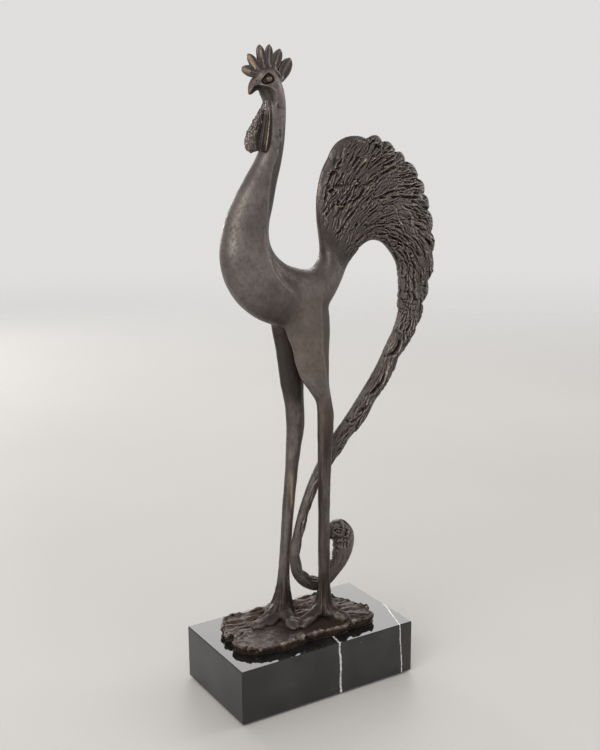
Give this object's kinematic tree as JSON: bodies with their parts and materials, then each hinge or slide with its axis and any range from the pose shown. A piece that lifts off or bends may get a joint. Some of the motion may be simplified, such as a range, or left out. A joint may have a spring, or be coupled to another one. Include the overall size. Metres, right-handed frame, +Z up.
{
  "type": "rooster sculpture on plinth",
  "caption": "Tall bronze rooster standing on a lumpy ground plate, with a fanned plume tail that curls between its legs, on a polished black marble plinth.",
  "frame": {"origin": "middle of the felt's resting face under the plinth", "axes": "+Z up along the bird's height, X along the plinth's long side with the bird facing -X and its tail towards +X, -Y towards the bird's left side"},
  "size_m": [0.2831, 0.12, 0.6606],
  "materials": {
    "bronze_smooth": "smooth dark brown-grey bronze patina, satin, with fine pits",
    "bronze_golden": "dark bronze rubbed to gold on the raised edges",
    "bronze_rough": "carved feather texture in dark bronze with rubbed high points",
    "bronze_dark": "dark glossy bronze bead",
    "bronze_leg": "dark bronze with golden rubbed streaks",
    "bronze_earth": "reddish brown bronze, rippled, with rubbed olive gold lips",
    "dowel_bronze": "bare turned bronze, hidden",
    "black_marble": "polished black marble with a few white veins",
    "felt": "thin black felt",
    "steel": "zinc plated steel"
  },
  "bodies": {
    "root": {"torso": "bronze_smooth", "head": "bronze_smooth", "comb": "bronze_golden", "left_wattle": "bronze_golden", "right_wattle": "bronze_rough", "left_eye": "bronze_dark", "right_eye": "bronze_dark", "tail_plume": "bronze_rough", "tail_streamer": "bronze_rough", "left_leg": "bronze_leg", "right_leg": "bronze_leg", "ground_plate": "bronze_earth", "neck_dowel": "dowel_bronze", "tail_dowel": "dowel_bronze", "streamer_dowel": "dowel_bronze", "left_hip_dowel": "dowel_bronze", "right_hip_dowel": "dowel_bronze", "marble_plinth": "black_marble", "felt_pad": "felt", "front_stud": "steel", "front_washer": "steel", "front_nut": "steel", "rear_stud": "steel", "rear_washer": "steel", "rear_nut": "steel"}
  },
  "joints": []
}
